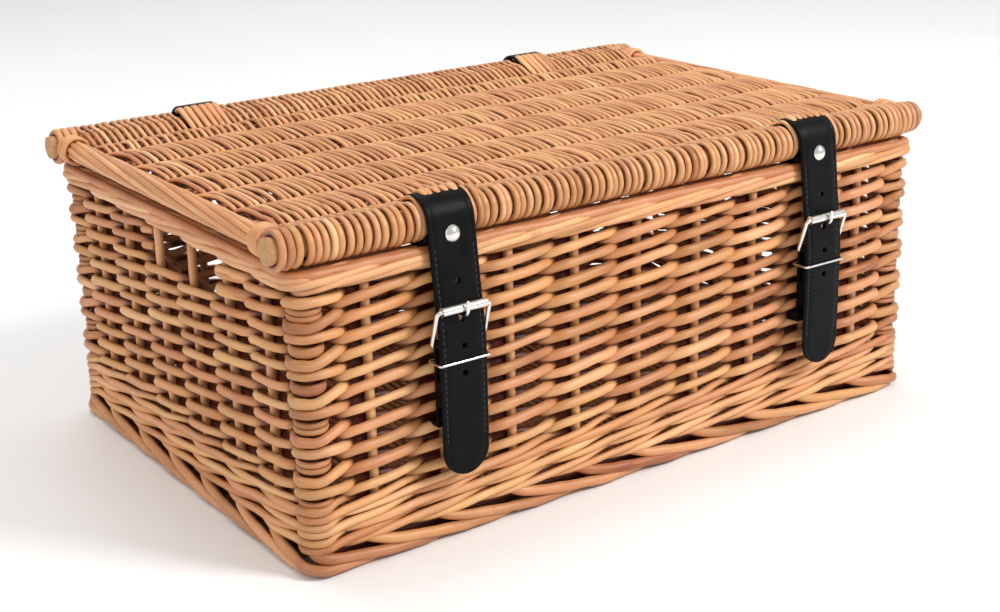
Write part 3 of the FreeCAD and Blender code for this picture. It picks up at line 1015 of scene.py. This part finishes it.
def strap_line(x):
    """Middle line of a strap: round the roll from its riveted end, over it and down."""
    centre_y = mid_y - roll_y
    ring = roll_radius + 1.4 * MM
    loop = circle_points(centre_y, roll_z, ring, np.linspace(215, 530, 64), x)
    hang, tip_start, tip_end = 10.4, 52.0, 41.0
    slant = ((2.9, 176.0), (4.6, 160.0), (6.3, 146.0), (7.7, 136.0), (9.0, 126.0), (10.2, 116.0))
    plumb = tuple((hang, z) for z in (106.0, 92.0, 70.0, tip_start, tip_end))
    smooth = spline([(x, front_y(out), z * MM) for out, z in slant + plumb], 1.5 * MM)
    tail = smooth[smooth[:, 2] > (tip_start + 0.5) * MM]
    fine_tip = [(x, front_y(hang), z * MM) for z in np.linspace(tip_start, tip_end, 26)]
    return np.vstack([loop, tail, fine_tip])


def subtract(piece, cutters):
    """Cuts holes in a piece and keeps the plain result."""
    for cutter in cutters:
        modifier = piece.modifiers.new("hole", "BOOLEAN")
        modifier.object = cutter
        modifier.solver = "EXACT"
    graph = bpy.context.evaluated_depsgraph_get()
    done = bpy.data.meshes.new_from_object(piece.evaluated_get(graph))
    piece.modifiers.clear()
    piece.data = done
    for cutter in cutters:
        bpy.data.objects.remove(cutter)


def hole_cutter(x, z, radius, stretch=1.0):
    """Cylinder that punches a strap from the front; stretch makes its hole taller."""
    bpy.ops.mesh.primitive_cylinder_add(
        vertices=24, radius=radius, depth=30 * MM, location=(x, front_y(9), z),
        rotation=(math.pi / 2, 0, 0))
    cutter = bpy.context.object
    cutter.scale.y = stretch
    bpy.context.view_layer.update()
    return cutter


def stitches(side, line, x):
    """Short black stitches along both creased lines of a strap."""
    rods = Rods(f"strap_stitches_{side}", sides=5)
    half = strap_width / 2 - crease_inset
    step, radius = 3.4 * MM, 0.3 * MM
    face = 1.1 * MM
    points = np.asarray(line, float)
    normal = np.cross(directions(points), (1, 0, 0))
    steps = distances(points)
    for at in np.arange(steps[0] + step, steps[-1] - step, step):
        for edge in (-half, half):
            run = []
            for t, lift in ((-0.36, 0.5), (-0.2, 0.8), (0.2, 0.8), (0.36, 0.5)):
                raised = points + normal * lift * face
                y, z = (np.interp(at + t * step, steps, raised[:, i]) for i in (1, 2))
                run.append((x + edge, y, z))
            rods.add(run, radius, 0.5, up=(1, 0, 0))
    piece = rods.build(f"strap_{side}")
    piece.data.materials.clear()
    piece.data.materials.append(thread)
    piece.data.polygons.foreach_set("material_index", [0] * len(piece.data.polygons))


def straps():
    """The two straps, with three spare holes each and a slot for the prong."""
    thickness = 2.2 * MM
    for side, x in (("left", -strap_x), ("right", strap_x)):
        line = strap_line(x)
        piece = leather_mesh(f"leather_strap_{side}", line, strap_width, thickness, tip=True)
        cutters = [hole_cutter(x, z * MM, 1.6 * MM) for z in (147.0, 113.0, 98.0)]
        cutters.append(hole_cutter(x, 129.0 * MM, 1.7 * MM, stretch=2.2))
        subtract(piece, cutters)
        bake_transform(piece)
        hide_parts(f"strap_{side}")
        tail = line[(line[:, 2] > 57 * MM) & (line[:, 1] < front_y(2.0)) & (line[:, 2] < 168 * MM)]
        stitches(side, tail, x)


def hinges():
    """Leather bands round the back roll that come down over the back wall."""
    for side, x in (("left", -strap_x), ("right", strap_x)):
        low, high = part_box(f"hinge_loop_{side}")
        centre_y = mid_y + roll_y
        ring = roll_radius + 1.05 * MM
        loop = circle_points(centre_y, roll_z, ring, np.linspace(250, 0, 44), x)
        tab_low, tab_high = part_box(f"hinge_tab_{side}")
        tab_y = (tab_low.y + tab_high.y) / 2
        tail = [(x, tab_y, z) for z in np.linspace(roll_z - 8 * MM, tab_low.z, 24)]
        line = np.vstack([loop, tail])
        piece = leather_mesh(f"leather_hinge_{side}", line, high.x - low.x, 2.0 * MM, grooves=False)
        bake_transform(piece)
        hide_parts(f"hinge_loop_{side}", f"hinge_tab_{side}")


def paint_cad():
    """Carried-over CAD pieces keep their shape and get finished materials."""
    metal = ("chape_rivet", "strap_rivet", "buckle_frame", "buckle_roller", "buckle_prong", "keeper")
    for side in ("left", "right"):
        for name in ("chape", *metal):
            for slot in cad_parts[f"{name}_{side}"].material_slots:
                slot.material = nickel if name in metal else leather


# ---------------- studio
def studio():
    """White floor, an even sky and three soft lights."""
    bpy.ops.mesh.primitive_plane_add(size=14, location=(0, 0, -0.0002))
    ground = bpy.context.object
    ground.name = "studio_ground"
    ground.data.materials.append(floor_material())
    world = bpy.data.worlds.new("studio")
    bpy.context.scene.world = world
    world.use_nodes = True
    sky = world.node_tree.nodes["Background"]
    sky.inputs[0].default_value = (1.0, 0.995, 0.985, 1)
    sky.inputs[1].default_value = 0.66
    middle_of_body = Vector((0, 0, 0.1))
    for name, place, size, power in (
            ("key", (1.1, -1.7, 1.7), 0.7, 48.0), ("fill", (-2.0, -0.1, 0.9), 1.4, 6.6),
            ("top", (-0.1, 0.7, 2.1), 1.3, 16.6)):
        light = bpy.data.lights.new(name, "AREA")
        light.size = size
        light.energy = power
        lamp = show(name, light)
        lamp.location = place
        aim = middle_of_body - Vector(place)
        lamp.rotation_euler = aim.to_track_quat("-Z", "Y").to_euler()


def camera():
    """Camera to the front left of the hamper, a little above it."""
    yaw, pitch, roll = math.radians(35.0), math.radians(19.0), math.radians(-1.38)
    place = Vector((-0.5697, -0.8218 + mid_y, 0.4067))
    forward = Vector((math.sin(yaw) * math.cos(pitch), math.cos(yaw) * math.cos(pitch), -math.sin(pitch)))
    right = forward.cross(Vector((0, 0, 1))).normalized()
    up = right.cross(forward)
    turned_right = right * math.cos(roll) + up * math.sin(roll)
    turned_up = up * math.cos(roll) - right * math.sin(roll)
    lens = bpy.data.cameras.new("view")
    lens.lens = 59.04
    lens.sensor_width = 36.0
    viewer = show("view", lens)
    axes = Matrix((turned_right, turned_up, -forward)).transposed()
    viewer.matrix_world = Matrix.Translation(place) @ axes.to_4x4()
    bpy.context.scene.camera = viewer


bpy.context.scene.view_settings.view_transform = "Standard"
woven_rows()
waling()
foot()
border()
uprights()
base()
lid_sticks()
lid_field()
lid_edges()
straps()
hinges()
paint_cad()
studio()
camera()
